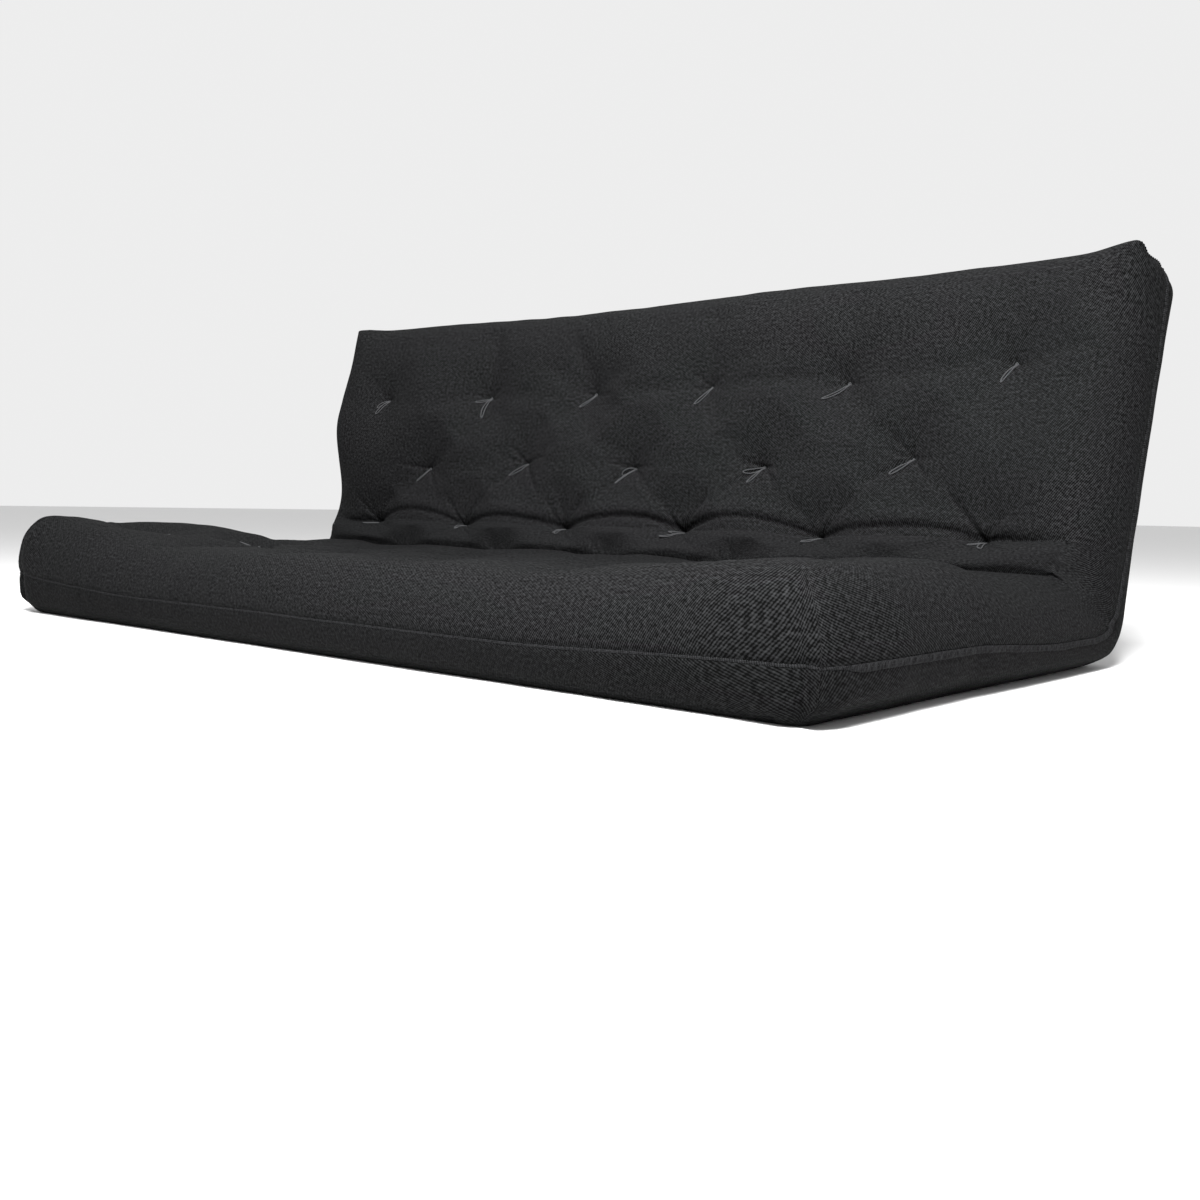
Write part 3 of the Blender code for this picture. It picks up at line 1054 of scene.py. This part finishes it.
def tube(path, radius, sides=7):
    """A closed cord along a path, as (points, faces, map), its ends drawn in."""
    path = np.asarray(path, float)
    tangent = unit(np.gradient(path, axis=0))
    normal = np.zeros_like(path)
    normal[0] = unit(np.cross(tangent[0], (0.3, 0.1, 1.0)))
    for n in range(1, len(path)):
        carried = normal[n - 1] - tangent[n] * (normal[n - 1] @ tangent[n])
        normal[n] = unit(carried)
    binormal = np.cross(tangent, normal)
    size = np.full(len(path), radius)
    size[0] = size[-1] = 0.55 * radius
    angle = 2 * np.pi * np.arange(sides) / sides
    ring = np.cos(angle)[None, :, None] * normal[:, None]
    ring = ring + np.sin(angle)[None, :, None] * binormal[:, None]
    points = path[:, None] + size[:, None, None] * ring
    count = len(path)
    number = np.arange(count * sides).reshape(count, sides)
    beside = np.roll(number, -1, 1)
    faces = np.stack([number[:-1], beside[:-1], beside[1:], number[1:]], -1).reshape(-1, 4).tolist()
    faces.append(number[0][::-1].tolist())
    faces.append(number[-1].tolist())
    run = run_along(path)
    chart = []
    for i in range(count - 1):
        for j in range(sides):
            left, right = j / sides, (j + 1) / sides
            chart += [(left, run[i]), (right, run[i]), (right, run[i + 1]), (left, run[i + 1])]
    chart += [(0.5, 0.0)] * sides + [(0.5, run[-1])] * sides
    return points.reshape(-1, 3), faces, chart


def joined(parts):
    """Several closed shapes as one mesh's points, faces and map."""
    points, faces, chart, first = [], [], [], 0
    for own_points, own_faces, own_chart in parts:
        points.append(own_points)
        faces += [[n + first for n in face] for face in own_faces]
        chart += own_chart
        first += len(own_points)
    return np.concatenate(points), faces, chart


STITCH_SPACING, STITCH_LENGTH, STITCH_RADIUS = 0.0062, 0.0036, 0.00040


def stitch(start, end, outward, stand):
    """One stitch, its ends sunk into the cloth and its middle standing on it."""
    shares = np.array([0, 0.2, 0.8, 1.0])[:, None]
    lift = np.array([-0.0004, stand, stand, -0.0004])[:, None]
    return tube(start + shares * (end - start) + lift * outward, STITCH_RADIUS, 5)


def make_stitches(cover, finish):
    """Topstitching along the edge seam and down the four corners."""
    points, tangent, down, outward, run, flat = lip_surface(cover)
    flat = flat[:, None]
    marks = np.arange(0, run[-1], STITCH_SPACING)

    def at(values):
        return np.stack([np.interp(marks, run, values[:, k]) for k in range(3)], -1)

    middle = at(points + flat * LIP_THICKNESS * outward + 0.45 * flat * LIP_HEIGHT * down)
    half = 0.5 * STITCH_LENGTH * unit(at(tangent))
    parts = [stitch(p - h, p + h, o, 0.0002) for p, h, o in zip(middle, half, unit(at(outward)))]
    for name, end, beside in (("front", 0, 1), ("front", -1, -2), ("head", 0, 1), ("head", -1, -2)):
        line = cover.shapes[name][end, 8 : cover.lower_seam_row]
        neighbour = cover.shapes[name][beside, 8]
        centre = np.array([0, line[:, 1].mean(), line[:, 2].mean()])
        reach = run_along(line)
        for mark in np.arange(0.004, reach[-1] - 0.004, STITCH_SPACING):
            p = np.array([np.interp(mark, reach, line[:, k]) for k in range(3)])
            q = np.array([np.interp(mark + STITCH_LENGTH, reach, line[:, k]) for k in range(3)])
            o = unit(np.cross(q - p, neighbour - line[0]))
            if o @ (p - centre) < 0:
                o = -o
            parts.append(stitch(p, q, o, 0.0006))
    all_points, faces, chart = joined(parts)
    piece = add_piece("seam_stitches", all_points, faces)
    set_cloth_map(piece.data, chart)
    finish_piece(piece, finish, "tuft_twine")
    across_fold(piece)


TWINE = 0.0010  # radius


def make_ties(cover, pieces, finish):
    """One tie of doubled twine for each tuft: through the mattress, knotted, its loops on the cloth."""
    top = BVHTree.FromPolygons(*surface_of(pieces["top_panel"]))
    rng = np.random.default_rng(33)

    def on_top(x, s, lift, start=0.08):
        """A point just off the cloth, found by looking down at it from start above its plain curve."""
        base = place(x, s, HALF_THICKNESS)
        way = lift_direction(np.asarray(s, float))
        hit, normal, _, _ = top.ray_cast(Vector(base + start * way), Vector(-way))
        if hit is None:
            return base
        if normal @ Vector(way) < 0:
            normal = -normal
        return np.array(hit) + lift * np.array(normal)

    for name, x, s, _ in TIES:
        row = name[0]
        on_back = row in "abc"
        parts = []
        loops = 2 if rng.uniform() < 0.6 else 1
        if row == "d":  # deep in the inner corner, a knot alone
            loops = 0
        heading = math.radians(rng.uniform(98, 136) if on_back else rng.uniform(0, 360))
        for number in range(loops):
            turn = heading + number * rng.uniform(0.3, 0.7)
            length = rng.uniform(0.038, 0.052) * (1 if number == 0 else 0.7)
            width = rng.uniform(0.0030, 0.0060)
            bend = rng.uniform(-0.45, 0.45)
            t = np.linspace(0.04, 0.96, 23)
            out = length * (1 - np.cos(2 * np.pi * t)) / 2
            aside = width * np.sin(2 * np.pi * t) * (0.5 + 0.5 * out / length) + bend * out**2 / length
            dx = out * math.cos(turn) - aside * math.sin(turn)
            ds = out * math.sin(turn) + aside * math.cos(turn)
            lift = TWINE * (1.0 + rng.uniform(0.2, 1.6) * np.sin(np.pi * t) ** 2)
            path = [on_top(x + a, s + b, h) for a, b, h in zip(dx, ds, lift)]
            parts.append(tube(path, TWINE, 7))
        centre = on_top(x, s, 0.0018, 0.004 if row == "d" else 0.08)
        way = lift_direction(np.asarray(s, float))
        side = np.array([1.0, 0, 0])
        other = np.cross(way, side)
        angle = np.linspace(0, 4.2 * np.pi, 26)
        wrap = 0.0021 + 0.0006 * np.sin(1.5 * angle)
        height = 0.0010 * np.sin(0.75 * angle)
        knot = centre + (wrap * np.cos(angle))[:, None] * side + (wrap * np.sin(angle))[:, None] * other
        parts.append(tube(knot + height[:, None] * way, TWINE, 7))
        under = place(x, s, -HALF_THICKNESS) + 0.0050 * way
        reach = 0.0055
        down_leg = (
            (centre, 0.0, 0.0015),
            (centre, -0.0040, 0.0018),
            (under, 0.010, 0.0030),
            (under, 0.0015, reach),
            (under, -0.0012, 0.6 * reach),
        )
        legs = [at + along * way - aside * side for at, along, aside in down_leg]
        legs.append(under - 0.0016 * way)
        legs += [at + along * way + aside * side for at, along, aside in down_leg[::-1]]
        parts.append(tube(legs, 0.9 * TWINE, 6))
        points, faces, chart = joined(parts)
        piece = add_piece(f"tie_{name}", points, faces)
        set_cloth_map(piece.data, chart)
        finish_piece(piece, finish, "tuft_twine", f"tuft_tie_{name}")
        if row in "cd":
            across_fold(piece)
        else:
            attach(piece, "back" if row in "ab" else "seat")


def surface_of(piece):
    mesh = piece.data
    return points_of(mesh).tolist(), [tuple(face.vertices) for face in mesh.polygons]


def lowest_casing(cover):
    """How far the casing's top lies above its plain curve, at its lowest close round each point."""
    x, s, _, _ = cover.fine.params("top")
    above = cover.shapes["top"] - place(x, s, HALF_THICKNESS)
    height = np.sum(above * lift_direction(s), -1)
    for _ in range(6):
        padded = np.pad(height, 1, mode="edge")
        along_row = np.minimum(padded[:-2, 1:-1], padded[2:, 1:-1])
        across_row = np.minimum(padded[1:-1, :-2], padded[1:-1, 2:])
        height = np.minimum(height, np.minimum(along_row, across_row))
    return height


ROOM = 0.0050  # between the casing and the batting under it
EDGE_ROOM = 0.0080  # more near the edges
TIE_ROOM = 0.014  # more round the ties
FOLD_END_ROOM = 0.030  # more at the two ends of the fold


def under_casing(cover, low, x, s, layer):
    """How far a layer's top is moved to lie just under the casing."""
    column = np.clip(np.searchsorted(cover.fine.xs, x), 0, len(cover.fine.xs) - 1)
    row = np.clip(np.searchsorted(cover.fine.ss, s), 0, len(cover.fine.ss) - 1)
    plain = np.sum((place(x, s, layer.top) - place(x, s, HALF_THICKNESS)) * lift_direction(s), -1)
    inside = np.minimum(INNER_X - np.abs(x), np.minimum(INNER_FRONT - s, s - INNER_TOP))
    edge = EDGE_ROOM * (1 - smooth(inside / 0.05))
    fold_ends = FOLD_END_ROOM * smooth((np.abs(x) - 0.76) / 0.08) * np.exp(-(((s - 0.02) / 0.12) ** 2))
    at_ties = np.zeros_like(x)
    for _, tie_x, tie_s, _ in TIES:
        away = np.hypot(x - tie_x, s - tie_s)
        at_ties = np.maximum(at_ties, TIE_ROOM * np.exp(-((away / 0.030) ** 2)))
    return low[column, row] - ROOM - plain - edge - fold_ends - at_ties


def make_filling(cover, fibre):
    """Cotton batting above and below a foam core, squeezed in by the ties and by the fold."""
    cotton = fibre_finish("cotton_batting", fibre, (0.80, 0.77, 0.68), 240.0, 0.004)
    foam = fibre_finish("foam_core", fibre, (0.72, 0.66, 0.48), 900.0, 0.0012)
    edge_rows = np.concatenate([np.linspace(0, 1, 6)[:-1], [1, 1.5], np.linspace(2, 3, 4), [3.5, 4]])
    low = lowest_casing(cover)
    for name, layer, finish, slot, more_nodes in (
        ("upper_batting", UPPER_BATTING, cotton, "cotton_batting", ["fold_filling"]),
        ("foam_core", FOAM_CORE, foam, "foam_core", []),
        ("lower_batting", LOWER_BATTING, cotton, "cotton_batting", []),
    ):
        nodes = [f"seat_{name}", f"back_{name}", *more_nodes]
        patches = Patches(cover.coarse.xs, cover.coarse.ss, edge_rows, layer)
        shapes = {}
        for side in patches.names:
            x, s, v, _ = patches.params(side)
            _, _, height = patches.flat(side)
            if name == "upper_batting":
                move = under_casing(cover, low, x, s, layer)
                fade = np.where(move > 0, 1 - v / 0.5, 1.6 - v)
                move = move * np.clip(fade, 0, 1)
            else:
                share = np.clip((height + HALF_THICKNESS) / (2 * HALF_THICKNESS), 0, 1) ** 2
                move = (rise(x, s) - 0.012) * share + 1.3 * under_dimples(x, s) * (height < -0.05)
            shapes[side] = patches.shape(side) + lift_direction(s) * move[..., None]
        points, quads, _, _ = welded(patches, [(n, None, None) for n in patches.names], shapes)
        piece = add_piece(name, points, quads)
        finish_piece(piece, finish, slot, *nodes)
        across_fold(piece)


# The studio


def plain_material(name, colour, roughness):
    material = bpy.data.materials.new(name)
    material.use_nodes = True
    shader = material.node_tree.nodes["Principled BSDF"]
    shader.inputs["Base Color"].default_value = (*colour, 1)
    shader.inputs["Roughness"].default_value = roughness
    return material


def add_stage():
    world = bpy.data.worlds.new("studio")
    world.use_nodes = True
    background = world.node_tree.nodes["Background"]
    background.inputs["Color"].default_value = (1, 1, 1, 1)
    background.inputs["Strength"].default_value = 0.85
    bpy.context.scene.world = world
    corners = [(-30, -30, -0.001), (30, -30, -0.001), (30, 30, -0.001), (-30, 30, -0.001)]
    floor = add_piece("floor", corners, [(0, 1, 2, 3)])
    floor.data.materials.append(plain_material("studio_floor", (0.66, 0.66, 0.66), 0.8))


def add_light(name, place_at, target, power, size):
    data = bpy.data.lights.new(name, "AREA")
    data.energy = power
    data.size = size
    lamp = bpy.data.objects.new(name, data)
    lamp.location = place_at
    lamp.rotation_euler = (Vector(target) - Vector(place_at)).to_track_quat("-Z", "Y").to_euler()
    bpy.context.scene.collection.objects.link(lamp)


def add_camera():
    """A low view from the front right, just above the seat, with a slight tilt."""
    stands_at = (1.66167, -1.67903, 0.23743)
    heading, pitch, roll = 0.725336, 0.074589, 0.017293
    right = np.array([math.cos(heading), math.sin(heading), 0])
    level = np.array([-math.sin(heading), math.cos(heading), 0])
    look = level * math.cos(pitch) - np.array([0, 0, math.sin(pitch)])
    up = np.cross(right, look)
    across = math.cos(roll) * right + math.sin(roll) * up
    upright = math.cos(roll) * up - math.sin(roll) * right
    data = bpy.data.cameras.new("camera")
    data.sensor_width = 36
    data.lens = 37.58
    camera = bpy.data.objects.new("camera", data)
    turned = Matrix([across, upright, -look]).transposed().to_4x4()
    camera.matrix_world = Matrix.Translation(stands_at) @ turned
    bpy.context.scene.collection.objects.link(camera)
    bpy.context.scene.camera = camera


add_camera()
cover = Cover()
weave, fibre = twill_group(), fibre_group()
twine = twine_finish("tuft_twine", (0.0330, 0.0336, 0.0350))
thread = twine_finish("seam_thread", (0.0080, 0.0081, 0.0085))
pieces = make_casing(cover, weave)
make_seam_lip(cover, weave)
make_stitches(cover, thread)
make_filling(cover, fibre)
make_ties(cover, pieces, twine)
add_stage()
add_light("key", (1.5, -1.8, 2.25), (0.1, 0.0, 0.3), 350, 1.0)
add_light("overhead", (0.2, -0.6, 2.3), (0.1, 0.2, 0.3), 65, 1.2)
bpy.context.scene.view_settings.view_transform = "Standard"
